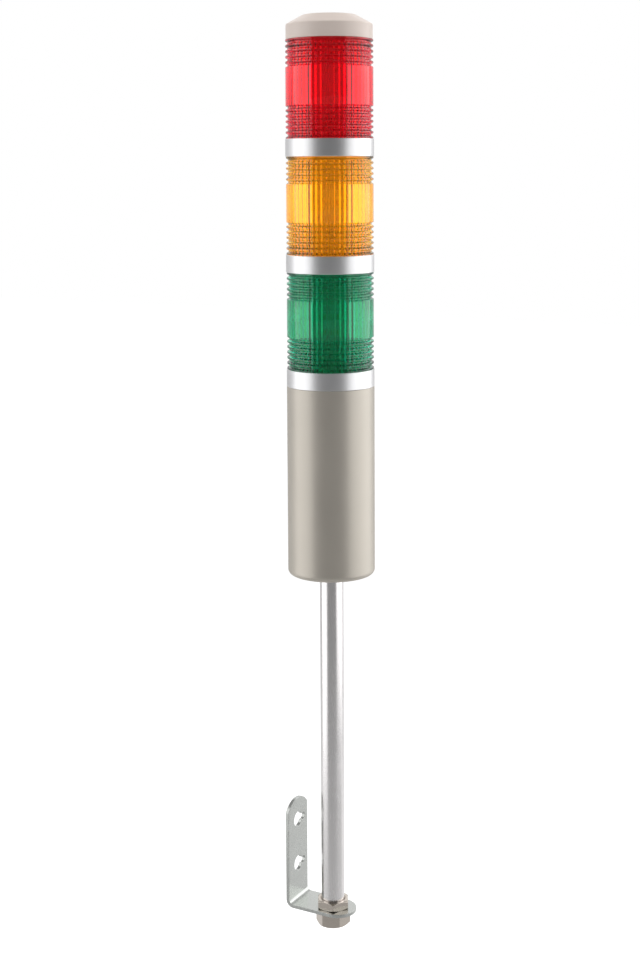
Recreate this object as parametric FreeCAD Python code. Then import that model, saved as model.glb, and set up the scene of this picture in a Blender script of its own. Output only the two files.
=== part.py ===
"""Three-tier LED stack light on a pole with an L-shaped wall bracket.

Units are millimetres.  The origin is on the bracket's wall face, midway between
its two keyholes.  +Z runs up the pole, +Y points into the wall and +X points to
the open side of the keyhole slots.  Each function makes one piece at its place.
"""
import FreeCAD, Part

import math
import os

from FreeCAD import Vector

# ---------------------------------------------------------------- driving sizes
# Wall bracket, bent from one strip
bracket_w = 22.0
bracket_t = 2.0
bend_inner_r = 2.5
wall_to_pole = 25.5
foot_end_past_pole = 3.0
leg_arch_r = 13.5
leg_shoulder_r = 1.5
slot_spacing = 27.0
slot_circle_d = 9.0
slot_neck_w = 4.0
slot_reach = 7.9
foot_below_slot = 21.0
leg_above_slot = 13.2

# Pole and its clamp nuts
pole_d = 13.5
pole_wall = 1.2
pole_visible = 195.0
pole_end_chamfer = 0.4
pole_end_inset = 0.6
nut_wall = 2.0
upper_nut_h = 5.0
lower_nut_h = 8.0
nut_chamfer = 1.0
nut_turn_deg = 9.0
swivel_gap = 0.3
thread_gap = 0.05

# Body under the lights
tower_d = 50.0
body_h = 109.0
body_floor = 3.0
body_corner_r = 3.0
pole_boss_wall = 3.5
pole_boss_h = 8.0
lock_washer_t = 1.0
lock_washer_w = 4.0
lock_nut_h = 4.0
pole_past_nut = 2.0

# Silver rings, lenses and cap
shell_wall = 2.4
ring_h = 10.0
ring_web = 2.0
edge_break = 0.3
spigot_wall = 1.5
spigot_h = 2.0
fit_gap = 0.2
lens_h = 55.0
lens_inset = 0.3
groove_pitch = 3.05
groove_depth = 1.2
rib_land = 0.7
upper_groove_count = 5
lower_groove_count = 6
flute_count = 48
flute_depth = 0.7
cap_inset = 0.6
cap_wall = 2.0
cap_side_h = 8.5
cap_slope_h = 5.2
cap_top_d = 30.0
cap_edge_r = 1.0
clamp_rim_h = 4.0
clamp_rim_wall = 1.5

# Lights inside the lenses
head_turn_deg = -61.0
board_t = 1.6
board_lift = 1.0
board_top_gap = 3.5
slot_gap = 0.1
holder_t = 2.5
jaw_t = 1.5
jaw_h = 5.0
led_w = 5.0
led_t = 1.6
led_pitch = 7.5
led_clear = 2.0
wire_hole_d = 6.0
wire_hole_y = 12.0

# Tie rods through the whole head
rod_d = 3.0
rod_offset = 7.5
rod_clear = 0.5
rod_hole_gap = 0.25
rod_past_nut = 1.2
rod_nut_wall = 1.25
rod_nut_h = 2.4

# Deck that closes the body and carries the control board
deck_t = 3.0
deck_drop = 0.5
deck_boss_wall = 1.8
deck_boss_h = 6.0
post_d = 8.0
post_h = 14.0
post_edge = 0.6
deck_screw_d = 3.0
screw_len = 9.0
screw_head_d = 5.6
screw_head_h = 2.0
tab_t = 3.0
tab_w = 18.0
tab_h = 12.0
control_y = 7.0
control_h = 62.0
control_lift = 1.5
control_edge = 1.5
small_screw_d = 2.5
small_screw_len = 4.0
small_head_d = 4.6
small_head_h = 1.6
small_screw_x = 6.0

# Terminal block on the control board
terminal_count = 4
terminal_pitch = 5.0
terminal_depth = 8.5
terminal_h = 10.0
terminal_lift = 4.0
wire_entry_w = 3.4
wire_entry_deep = 6.0
terminal_screw_d = 3.4
terminal_screw_h = 1.2
screw_slot_w = 0.6
screw_slot_deep = 0.5

# ---------------------------------------------------------------- derived sizes
pole_r = pole_d / 2
pole_bore_r = pole_r - pole_wall
pole_hole_r = pole_r + thread_gap
tower_r = tower_d / 2
socket_r = tower_r - shell_wall
spigot_r = socket_r - fit_gap
spigot_bore_r = spigot_r - spigot_wall
lens_r = tower_r - lens_inset
cap_r = tower_r - cap_inset
socket_h = spigot_h + fit_gap
rod_r = rod_d / 2
rod_hole_r = rod_r + rod_hole_gap
board_w = 2 * (rod_offset - rod_r - rod_clear)
nut_af = pole_d + 2 * nut_wall

foot_top_z = -slot_spacing / 2 - foot_below_slot
foot_bottom_z = foot_top_z - bracket_t
upper_nut_top_z = foot_top_z + upper_nut_h
lower_nut_bottom_z = foot_bottom_z - lower_nut_h
body_z = upper_nut_top_z + pole_visible
body_top_z = body_z + body_h
module_h = ring_h + lens_h
module_names = ("green", "amber", "red")
module_z = {name: body_top_z + i * module_h for i, name in enumerate(module_names)}
cap_z = body_top_z + len(module_names) * module_h
deck_top_z = body_top_z - spigot_h - deck_drop
deck_z = deck_top_z - deck_t
boss_top_z = body_z + body_floor + pole_boss_h
lock_nut_z = boss_top_z + lock_washer_t
pole_top_z = lock_nut_z + lock_nut_h + pole_past_nut
pole_bottom_z = lower_nut_bottom_z + pole_end_inset
post_y = spigot_bore_r - fit_gap - screw_head_d / 2
board_bottom = ring_web + board_lift


# ---------------------------------------------------------------- form builders
def cylinder(radius, z_low, z_high, x=0.0, y=0.0):
    """Upright cylinder between two heights."""
    return Part.makeCylinder(radius, z_high - z_low, Vector(x, y, z_low))


def tube(outer_r, inner_r, z_low, z_high, x=0.0, y=0.0):
    """Upright tube between two heights."""
    return cylinder(outer_r, z_low, z_high, x, y).cut(cylinder(inner_r, z_low, z_high, x, y))


def box(x_size, y_low, y_high, z_low, z_high, x=0.0):
    """Block centred on x, between two depths and two heights."""
    corner = Vector(x - x_size / 2, y_low, z_low)
    return Part.makeBox(x_size, y_high - y_low, z_high - z_low, corner)


def closed_face(points):
    """Flat face inside a closed run of straight edges."""
    return Part.Face(Part.makePolygon(points + points[:1]))


def revolve(profile):
    """Solid turned about Z from (radius, height) points."""
    face = closed_face([Vector(r, 0, z) for r, z in profile])
    return face.revolve(Vector(0, 0, 0), Vector(0, 0, 1), 360)


def hex_prism(across_flats, z_low, z_high, turn_deg, x=0.0, y=0.0):
    """Upright hexagonal prism whose first corner is at turn_deg from +X."""
    corner_r = across_flats / math.sqrt(3)
    corners = []
    for i in range(6):
        angle = math.radians(turn_deg + 60 * i)
        corners.append(Vector(x + corner_r * math.cos(angle), y + corner_r * math.sin(angle), z_low))
    return closed_face(corners).extrude(Vector(0, 0, z_high - z_low))


def fillet_rims(solid, radius, rim_r, height):
    """Round every full circular edge of the given radius at the given height."""
    rims = []
    for edge in solid.Edges:
        if not isinstance(edge.Curve, Part.Circle):
            continue
        right_size = abs(edge.Curve.Radius - rim_r) < 1e-6
        if right_size and abs(edge.Curve.Center.z - height) < 1e-6:
            rims.append(edge)
    return solid.makeFillet(radius, rims)


def on_pole(solid):
    """Move a piece that was made about the Z axis onto the pole's axis."""
    placed = solid.copy()
    placed.translate(Vector(0, -wall_to_pole, 0))
    return placed


def on_head(solid):
    """Turn a piece with the head and put it on the pole's axis."""
    turned = solid.copy()
    turned.rotate(Vector(0, 0, 0), Vector(0, 0, 1), head_turn_deg)
    return on_pole(turned)


def both_sides(make_at):
    """The same piece at +x and -x, as a list."""
    return [make_at(side * rod_offset) for side in (1, -1)]


# ---------------------------------------------------------------- wall bracket
def leg_outline():
    """Front view of the bracket: a strip with an arched top."""
    half_w = bracket_w / 2
    top_z = slot_spacing / 2 + leg_above_slot
    shoulder_z = top_z - leg_arch_r + math.sqrt(leg_arch_r ** 2 - half_w ** 2)
    bottom_z = foot_bottom_z - bracket_t
    left_foot = Vector(-half_w, 0, bottom_z)
    right_foot = Vector(half_w, 0, bottom_z)
    left = Vector(-half_w, 0, shoulder_z)
    right = Vector(half_w, 0, shoulder_z)
    edges = [
        Part.LineSegment(left_foot, right_foot).toShape(),
        Part.LineSegment(right_foot, right).toShape(),
        Part.Arc(right, Vector(0, 0, top_z), left).toShape(),
        Part.LineSegment(left, left_foot).toShape(),
    ]
    return Part.Face(Part.Wire(edges)), shoulder_z


def foot_outline():
    """Plan view of the bracket: a strip with a round end past the pole."""
    half_w = bracket_w / 2
    centre_y = -wall_to_pole - foot_end_past_pole
    back_left = Vector(-half_w, bracket_t, 0)
    back_right = Vector(half_w, bracket_t, 0)
    left = Vector(-half_w, centre_y, 0)
    right = Vector(half_w, centre_y, 0)
    edges = [
        Part.LineSegment(back_left, back_right).toShape(),
        Part.LineSegment(back_right, right).toShape(),
        Part.Arc(right, Vector(0, centre_y - half_w, 0), left).toShape(),
        Part.LineSegment(left, back_left).toShape(),
    ]
    return Part.Face(Part.Wire(edges))


def bent_strip(reach, top_z):
    """Side view of the bend, extruded over the strip's width."""
    outer_r = bend_inner_r + bracket_t
    corner_y = -outer_r
    corner_z = foot_bottom_z + outer_r
    diagonal = math.sqrt(0.5)

    def arc(radius, start, end):
        middle = Vector(0, corner_y + radius * diagonal, corner_z - radius * diagonal)
        return Part.Arc(start, middle, end).toShape()

    points = [
        Vector(0, 0, top_z),
        Vector(0, 0, corner_z),
        Vector(0, corner_y, foot_bottom_z),
        Vector(0, -reach, foot_bottom_z),
        Vector(0, -reach, foot_top_z),
        Vector(0, corner_y, foot_top_z),
        Vector(0, -bracket_t, corner_z),
        Vector(0, -bracket_t, top_z),
    ]
    edges = [
        Part.LineSegment(points[0], points[1]).toShape(),
        arc(outer_r, points[1], points[2]),
        Part.LineSegment(points[2], points[3]).toShape(),
        Part.LineSegment(points[3], points[4]).toShape(),
        Part.LineSegment(points[4], points[5]).toShape(),
        arc(bend_inner_r, points[5], points[6]),
        Part.LineSegment(points[6], points[7]).toShape(),
        Part.LineSegment(points[7], points[0]).toShape(),
    ]
    face = Part.Face(Part.Wire(edges))
    face.translate(Vector(-bracket_w / 2, 0, 0))
    return face.extrude(Vector(bracket_w, 0, 0))


def keyhole(z):
    """Round hole with a narrow neck towards +X, cut through the leg."""
    through = 3 * bracket_t
    back = Vector(0, bracket_t, z)
    into_leg = Vector(0, -1, 0)
    hole = Part.makeCylinder(slot_circle_d / 2, through, back, into_leg)
    neck_r = slot_neck_w / 2
    neck_x = slot_reach - neck_r
    neck = Part.makeBox(neck_x, through, slot_neck_w, Vector(0, bracket_t - through, z - neck_r))
    end = Part.makeCylinder(neck_r, through, back + Vector(neck_x, 0, 0), into_leg)
    return hole.fuse([neck, end])


def l_bracket():
    """Zinc-plated strip: a keyholed leg on the wall and a foot that holds the pole."""
    reach = wall_to_pole + foot_end_past_pole + bracket_w
    leg_face, shoulder_z = leg_outline()
    top_z = slot_spacing / 2 + leg_above_slot
    strip = bent_strip(reach, top_z + bracket_t)
    leg_prism = leg_face.copy()
    leg_prism.translate(Vector(0, bracket_t, 0))
    leg_prism = leg_prism.extrude(Vector(0, -reach - 2 * bracket_t, 0))
    foot_prism = foot_outline()
    foot_prism.translate(Vector(0, 0, foot_bottom_z - bracket_t))
    foot_prism = foot_prism.extrude(Vector(0, 0, top_z - foot_bottom_z + 3 * bracket_t))
    strip = strip.common(leg_prism).common(foot_prism).Solids[0]
    shoulders = [
        edge for edge in strip.Edges
        if isinstance(edge.Curve, Part.Line) and abs(edge.CenterOfMass.z - shoulder_z) < 1e-6
    ]
    strip = strip.makeFillet(leg_shoulder_r, shoulders)
    pole_hole = cylinder(pole_r + swivel_gap, foot_bottom_z - 1, foot_top_z + 1, y=-wall_to_pole)
    cuts = [pole_hole, keyhole(slot_spacing / 2), keyhole(-slot_spacing / 2)]
    return strip.cut(cuts)


# ---------------------------------------------------------------- pole and nuts
def pole():
    """Aluminium tube from under the bracket to inside the body."""
    inner_chamfer = pole_end_chamfer / 2
    return on_pole(revolve([
        (pole_bore_r + inner_chamfer, pole_bottom_z),
        (pole_r - pole_end_chamfer, pole_bottom_z),
        (pole_r, pole_bottom_z + pole_end_chamfer),
        (pole_r, pole_top_z - pole_end_chamfer),
        (pole_r - pole_end_chamfer, pole_top_z),
        (pole_bore_r + inner_chamfer, pole_top_z),
        (pole_bore_r, pole_top_z - inner_chamfer),
        (pole_bore_r, pole_bottom_z + inner_chamfer),
    ]))


def thin_nut(z_low, z_high, turn_deg):
    """Thin hexagon nut with chamfered corners and a countersunk bore."""
    corner_r = nut_af / math.sqrt(3)
    flat_r = nut_af / 2
    sink = nut_wall / 4
    turned = revolve([
        (0, z_low),
        (flat_r, z_low),
        (corner_r, z_low + nut_chamfer * (corner_r - flat_r)),
        (corner_r, z_high - nut_chamfer * (corner_r - flat_r)),
        (flat_r, z_high),
        (0, z_high),
    ])
    bore = revolve([
        (0, z_low),
        (pole_hole_r + sink, z_low),
        (pole_hole_r, z_low + sink),
        (pole_hole_r, z_high - sink),
        (pole_hole_r + sink, z_high),
        (0, z_high),
    ])
    blank = hex_prism(nut_af, z_low, z_high, turn_deg)
    return on_pole(blank.common(turned).cut(bore))


def upper_clamp_nut():
    """Nut on top of the foot, one corner towards the front."""
    return thin_nut(foot_top_z, upper_nut_top_z, head_turn_deg - 90)


def lower_clamp_nut():
    """Nut under the foot, a little off from showing one flat to the front."""
    return thin_nut(lower_nut_bottom_z, foot_bottom_z, head_turn_deg - 120 - nut_turn_deg)


def pole_lock_washer():
    """Washer between the body's boss and the lock nut."""
    return on_pole(tube(pole_hole_r + lock_washer_w, pole_hole_r, boss_top_z, lock_nut_z))


def pole_lock_nut():
    """Nut inside the body that locks the pole to it."""
    return thin_nut(lock_nut_z, lock_nut_z + lock_nut_h, head_turn_deg)


# ---------------------------------------------------------------- body
def body_housing():
    """Deep cup with a boss for the pole and two posts for the deck."""
    cup = revolve([
        (0, body_z),
        (tower_r, body_z),
        (tower_r, body_top_z - edge_break),
        (tower_r - edge_break, body_top_z),
        (socket_r, body_top_z),
        (socket_r, body_z + body_floor),
        (0, body_z + body_floor),
    ])
    cup = fillet_rims(cup, body_corner_r, tower_r, body_z)
    boss = cylinder(pole_hole_r + pole_boss_wall, body_z + body_floor, boss_top_z)
    added = [boss]
    screw_holes = []
    for side in (1, -1):
        y = side * post_y
        post = cylinder(post_d / 2, deck_z - post_h, deck_z, y=y)
        web = box(post_d, min(y, side * (socket_r + post_edge)), max(y, side * (socket_r + post_edge)),
                  deck_z - post_h, deck_z)
        added += [post, web]
        screw_holes.append(cylinder(deck_screw_d / 2 + thread_gap, deck_z - screw_len, deck_z + 1, y=y))
    pole_hole = cylinder(pole_hole_r, body_z - 1, boss_top_z + 1)
    return on_head(cup.fuse(added).cut([pole_hole] + screw_holes).removeSplitter())


def deck_screw_places():
    """Places of the two deck screws, as y values."""
    return [side * post_y for side in (1, -1)]


def body_deck():
    """Disc under the lights, with rod bosses and a tab for the control board."""
    disc = cylinder(spigot_r, deck_z, deck_top_z)
    bosses = both_sides(lambda x: cylinder(rod_r + deck_boss_wall, deck_z - deck_boss_h, deck_z, x))
    tab_y = control_y + board_t
    tab = box(tab_w, tab_y, tab_y + tab_t, deck_z - tab_h, deck_z)
    deck = disc.fuse(bosses + [tab])
    rod_z = deck_z - deck_boss_h - 1
    cuts = both_sides(lambda x: cylinder(rod_r + thread_gap, rod_z, deck_top_z + 1, x))
    cuts.append(cylinder(wire_hole_d / 2, deck_z - 1, deck_top_z + 1, y=-wire_hole_y))
    for y in deck_screw_places():
        cuts.append(cylinder(deck_screw_d / 2 + fit_gap, deck_z - 1, deck_top_z + 1, y=y))
    for x in (small_screw_x, -small_screw_x):
        cuts.append(small_screw_shank(x, thread_gap))
    return on_head(deck.cut(cuts))


def deck_screws():
    """Two pan-head screws from the deck into the housing's posts."""
    screws = []
    for y in deck_screw_places():
        head = cylinder(screw_head_d / 2, deck_top_z, deck_top_z + screw_head_h, y=y)
        shank = cylinder(deck_screw_d / 2, deck_z - screw_len + thread_gap, deck_top_z, y=y)
        slot = box(screw_slot_w, y - screw_head_d, y + screw_head_d,
                   deck_top_z + screw_head_h - screw_slot_deep, deck_top_z + screw_head_h)
        screws.append(on_head(head.fuse(shank).cut(slot)))
    return Part.makeCompound(screws)


# ---------------------------------------------------------------- control board
def control_top():
    """Height of the control board's upper edge."""
    return deck_z - control_lift


def small_screw_z():
    """Height of the screws through the control board and the deck's tab."""
    return deck_z - (control_lift + tab_h) / 2


def small_screw_shank(x, gap=0.0):
    """Shank of a board screw along +Y, made larger by gap for its hole."""
    start = Vector(x, control_y, small_screw_z())
    return Part.makeCylinder(small_screw_d / 2 + gap, small_screw_len + gap, start, Vector(0, 1, 0))


def control_board():
    """Upright board that hangs from the deck's tab."""
    back_y = control_y + board_t
    width = 2 * (math.sqrt(socket_r ** 2 - back_y ** 2) - control_edge)
    board = box(width, control_y, back_y, control_top() - control_h, control_top())
    holes = [small_screw_shank(x, thread_gap) for x in (small_screw_x, -small_screw_x)]
    return on_head(board.cut(holes))


def control_board_screws():
    """Two screws that hold the control board to the deck's tab."""
    screws = []
    for x in (small_screw_x, -small_screw_x):
        face = Vector(x, control_y - small_head_h, small_screw_z())
        head = Part.makeCylinder(small_head_d / 2, small_head_h, face, Vector(0, 1, 0))
        slot = box(small_head_d * 2, face.y, face.y + screw_slot_deep,
                   face.z - screw_slot_w / 2, face.z + screw_slot_w / 2, x)
        screws.append(on_head(head.fuse(small_screw_shank(x)).cut(slot)))
    return Part.makeCompound(screws)


def terminal_places():
    """Sideways places of the terminals and the block's lowest height."""
    first = -terminal_pitch * (terminal_count - 1) / 2
    low_z = control_top() - control_h + terminal_lift
    return [first + i * terminal_pitch for i in range(terminal_count)], low_z


def terminal_block():
    """Row of screw terminals with wire entries from below."""
    places, low_z = terminal_places()
    front_y = control_y - terminal_depth
    block = box(terminal_pitch * terminal_count, front_y, control_y, low_z, low_z + terminal_h)
    cuts = []
    for x in places:
        middle_y = (front_y + control_y) / 2
        cuts.append(box(wire_entry_w, middle_y - wire_entry_w / 2, middle_y + wire_entry_w / 2,
                        low_z, low_z + wire_entry_deep, x))
        start = Vector(x, front_y, low_z + terminal_h / 2)
        cuts.append(Part.makeCylinder(terminal_screw_d / 2 + thread_gap, terminal_screw_h, start, Vector(0, 1, 0)))
    return on_head(block.cut(cuts))


def terminal_screws():
    """Slotted screws in the front of the terminal block."""
    places, low_z = terminal_places()
    front_y = control_y - terminal_depth
    screws = []
    for x in places:
        start = Vector(x, front_y, low_z + terminal_h / 2)
        disc = Part.makeCylinder(terminal_screw_d / 2, terminal_screw_h, start, Vector(0, 1, 0))
        slot = box(terminal_screw_d * 2, front_y, front_y + screw_slot_deep,
                   start.z - screw_slot_w / 2, start.z + screw_slot_w / 2, x)
        screws.append(on_head(disc.cut(slot)))
    return Part.makeCompound(screws)


# ---------------------------------------------------------------- light modules
def module_ring(z):
    """Silver ring: a wall, a web across it and a spigot for the tier below."""
    top = z + ring_h
    ring = revolve([
        (0, z),
        (spigot_bore_r, z),
        (spigot_bore_r, z - spigot_h),
        (spigot_r, z - spigot_h),
        (spigot_r, z),
        (tower_r - edge_break, z),
        (tower_r, z + edge_break),
        (tower_r, top - edge_break),
        (tower_r - edge_break, top),
        (socket_r, top),
        (socket_r, z + ring_web),
        (0, z + ring_web),
    ])
    return on_head(ring.cut(web_holes(z, z + ring_web)))


def web_holes(z_low, z_high):
    """Rod holes and the wire hole through a web or a holder."""
    holes = both_sides(lambda x: cylinder(rod_hole_r, z_low - 1, z_high + 1, x))
    holes.append(cylinder(wire_hole_d / 2, z_low - 1, z_high + 1, y=-wire_hole_y))
    return holes


def board_holder(z):
    """White disc in the ring with two jaws that hold the light board upright."""
    low = z + ring_web
    high = low + holder_t
    disc = cylinder(spigot_r, low, high)
    jaw_w = board_w - 2 * rod_clear
    slot_half = board_t / 2 + slot_gap
    jaws = box(jaw_w, -slot_half - jaw_t, slot_half + jaw_t, high, high + jaw_h)
    slot = box(board_w + 2 * slot_gap, -slot_half, slot_half, z + board_bottom, high + jaw_h + 1)
    return on_head(disc.fuse(jaws).cut([slot] + web_holes(low, high)))


def lens_profile(z):
    """Half section of a lens: spigot, lower ribs, plain band and upper ribs."""
    top = z + lens_h
    spigot_low = z - (ring_h - ring_web - holder_t - fit_gap)
    root_r = lens_r - groove_depth
    points = [(0, spigot_low), (spigot_r, spigot_low), (spigot_r, z), (lens_r, z)]

    def add_grooves(count, first_z):
        for i in range(count):
            low = first_z + i * groove_pitch
            high = low + groove_pitch - rib_land
            points.extend([(lens_r, low), (root_r, (low + high) / 2), (lens_r, high)])

    add_grooves(lower_groove_count, z + rib_land)
    add_grooves(upper_groove_count, top - upper_groove_count * groove_pitch)
    return points + [(lens_r, top), (0, top)], spigot_low


def flute_core(z_low, z_high):
    """Star-shaped core that leaves upright prisms round the inside of a lens."""
    corners = []
    for i in range(2 * flute_count):
        radius = spigot_bore_r + (flute_depth if i % 2 else 0)
        angle = math.pi * i / flute_count
        corners.append(Vector(radius * math.cos(angle), radius * math.sin(angle), z_low))
    return closed_face(corners).extrude(Vector(0, 0, z_high - z_low))


def module_lens(z):
    """Coloured lens: ribs round the outside, prisms down the inside."""
    profile, spigot_low = lens_profile(z)
    top = z + lens_h
    bore = cylinder(spigot_bore_r, spigot_low - 1, z + edge_break)
    socket = cylinder(socket_r, top - socket_h, top + 1)
    return on_head(revolve(profile).cut([bore, flute_core(z, top - socket_h / 2), socket]))


def led_board(z):
    """Narrow upright board between the tie rods."""
    high = z + module_h - board_top_gap
    return on_head(box(board_w, -board_t / 2, board_t / 2, z + board_bottom, high))


def leds(z):
    """A column of surface-mounted LEDs on each face of the board."""
    low = z + ring_web + holder_t + jaw_h + led_clear
    high = z + module_h - board_top_gap - led_clear
    count = int((high - low - led_w) / led_pitch) + 1
    first = (low + high - led_pitch * (count - 1)) / 2
    face_y = board_t / 2
    packages = []
    for i in range(count):
        middle = first + i * led_pitch
        for y_low in (face_y, -face_y - led_t):
            packages.append(on_head(box(led_w, y_low, y_low + led_t, middle - led_w / 2, middle + led_w / 2)))
    return Part.makeCompound(packages)


# ---------------------------------------------------------------- top and rods
def top_clamp_plate():
    """Plate in the top lens that the rods pull down, with a rim for the cap."""
    rim_r = cap_r - cap_wall - fit_gap
    plate = revolve([
        (0, cap_z - socket_h),
        (spigot_r, cap_z - socket_h),
        (spigot_r, cap_z),
        (rim_r, cap_z),
        (rim_r, cap_z + clamp_rim_h - edge_break),
        (rim_r - edge_break, cap_z + clamp_rim_h),
        (rim_r - clamp_rim_wall, cap_z + clamp_rim_h),
        (rim_r - clamp_rim_wall, cap_z),
        (0, cap_z),
    ])
    return on_head(plate.cut(both_sides(lambda x: cylinder(rod_hole_r, cap_z - socket_h - 1, cap_z + 1, x))))


def tie_rods():
    """Two long rods that pull the tiers down onto the body."""
    low = deck_z - deck_boss_h
    high = cap_z + rod_nut_h + rod_past_nut
    return Part.makeCompound([on_head(rod) for rod in both_sides(lambda x: cylinder(rod_r, low, high, x))])


def tie_rod_nuts():
    """Two nuts on the clamp plate."""
    def nut(x):
        blank = hex_prism(2 * (rod_r + rod_nut_wall), cap_z, cap_z + rod_nut_h, 0, x)
        return blank.cut(cylinder(rod_r + thread_gap, cap_z, cap_z + rod_nut_h, x))
    return Part.makeCompound([on_head(piece) for piece in both_sides(nut)])


def top_cap():
    """Ivory cap: a straight side and a low conical top, hollow underneath."""
    side_z = cap_z + cap_side_h
    top_z = side_z + cap_slope_h
    top_r = cap_top_d / 2
    shell = revolve([
        (0, cap_z),
        (cap_r, cap_z),
        (cap_r, side_z),
        (top_r, top_z),
        (0, top_z),
    ])
    shell = fillet_rims(shell, cap_edge_r, cap_r, side_z)
    shell = fillet_rims(shell, cap_edge_r, top_r, top_z)
    hollow = revolve([
        (0, cap_z - 1),
        (cap_r - cap_wall, cap_z - 1),
        (cap_r - cap_wall, side_z - cap_wall / 2),
        (top_r - cap_wall / 2, top_z - cap_wall),
        (0, top_z - cap_wall),
    ])
    return on_head(shell.cut(hollow))


# ---------------------------------------------------------------- whole light
def all_pieces():
    """Every piece by its node name."""
    pieces = {
        "l_bracket": l_bracket(),
        "upper_clamp_nut": upper_clamp_nut(),
        "lower_clamp_nut": lower_clamp_nut(),
        "pole": pole(),
        "pole_lock_washer": pole_lock_washer(),
        "pole_lock_nut": pole_lock_nut(),
        "body_housing": body_housing(),
        "body_deck": body_deck(),
        "deck_screws": deck_screws(),
        "control_board": control_board(),
        "control_board_screws": control_board_screws(),
        "terminal_block": terminal_block(),
        "terminal_screws": terminal_screws(),
        "top_clamp_plate": top_clamp_plate(),
        "tie_rods": tie_rods(),
        "tie_rod_nuts": tie_rod_nuts(),
        "top_cap": top_cap(),
    }
    for name, z in module_z.items():
        pieces[name + "_module_ring"] = module_ring(z)
        pieces[name + "_board_holder"] = board_holder(z)
        pieces[name + "_lens"] = module_lens(z + ring_h)
        pieces[name + "_led_board"] = led_board(z)
        pieces[name + "_leds"] = leds(z)
    return pieces


def main():
    """Write one STEP file for each piece."""
    os.makedirs("parts", exist_ok=True)
    for name, solid in all_pieces().items():
        if not solid.isValid():
            raise ValueError(name + " is not a valid solid")
        solid.exportStep("parts/" + name + ".step")
        print(f"{name}: {len(solid.Solids)} solid(s), {solid.Volume:.1f} mm3")


main()
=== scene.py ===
"""Looks of a three-tier LED stack light on its pole and wall bracket.

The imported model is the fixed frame. Each sub-assembly is a class that takes its
place from the frame, builds its meshes with bmesh operators and dresses them.
Sizes of the object's pieces are in millimetres, sizes of the studio and every
mesh are in metres, and angles in names that end in deg are in degrees.
"""
import logging
import math
from dataclasses import dataclass
from enum import Enum
from typing import Callable, Iterable, Sequence

import bmesh
import bpy
from mathutils import Matrix, Vector


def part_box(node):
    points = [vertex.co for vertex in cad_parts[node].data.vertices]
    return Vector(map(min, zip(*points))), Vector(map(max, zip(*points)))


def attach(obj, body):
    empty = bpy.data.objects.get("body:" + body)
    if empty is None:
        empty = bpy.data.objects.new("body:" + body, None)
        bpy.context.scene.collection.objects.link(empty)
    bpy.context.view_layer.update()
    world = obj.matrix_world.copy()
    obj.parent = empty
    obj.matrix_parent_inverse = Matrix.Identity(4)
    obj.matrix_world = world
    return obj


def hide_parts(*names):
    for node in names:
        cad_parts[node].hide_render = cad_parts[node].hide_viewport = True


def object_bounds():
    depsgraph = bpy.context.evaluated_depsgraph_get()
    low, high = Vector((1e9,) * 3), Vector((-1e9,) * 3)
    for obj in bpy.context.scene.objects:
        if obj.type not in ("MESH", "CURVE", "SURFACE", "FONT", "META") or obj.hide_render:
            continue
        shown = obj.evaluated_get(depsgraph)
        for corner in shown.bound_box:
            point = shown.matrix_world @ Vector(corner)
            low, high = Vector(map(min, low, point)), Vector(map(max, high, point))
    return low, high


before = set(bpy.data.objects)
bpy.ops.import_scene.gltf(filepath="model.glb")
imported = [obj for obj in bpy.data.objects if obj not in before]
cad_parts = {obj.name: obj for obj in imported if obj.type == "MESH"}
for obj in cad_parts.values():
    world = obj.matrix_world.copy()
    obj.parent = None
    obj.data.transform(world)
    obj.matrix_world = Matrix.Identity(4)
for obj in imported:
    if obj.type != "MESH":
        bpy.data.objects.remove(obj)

CAD_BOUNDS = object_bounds()
MM = 0.001
TOWER = "tower"
BRACKET = "bracket"
LOG = logging.getLogger("stack_light")

Colour = tuple[float, float, float]
Outline = list[tuple[float, float]]
Corner = tuple[float, float, float]
Span = tuple[float, float]


class Tier(Enum):
    """The light's tiers, named by their colour, from the top down."""

    RED = "red"
    AMBER = "amber"
    GREEN = "green"


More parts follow.
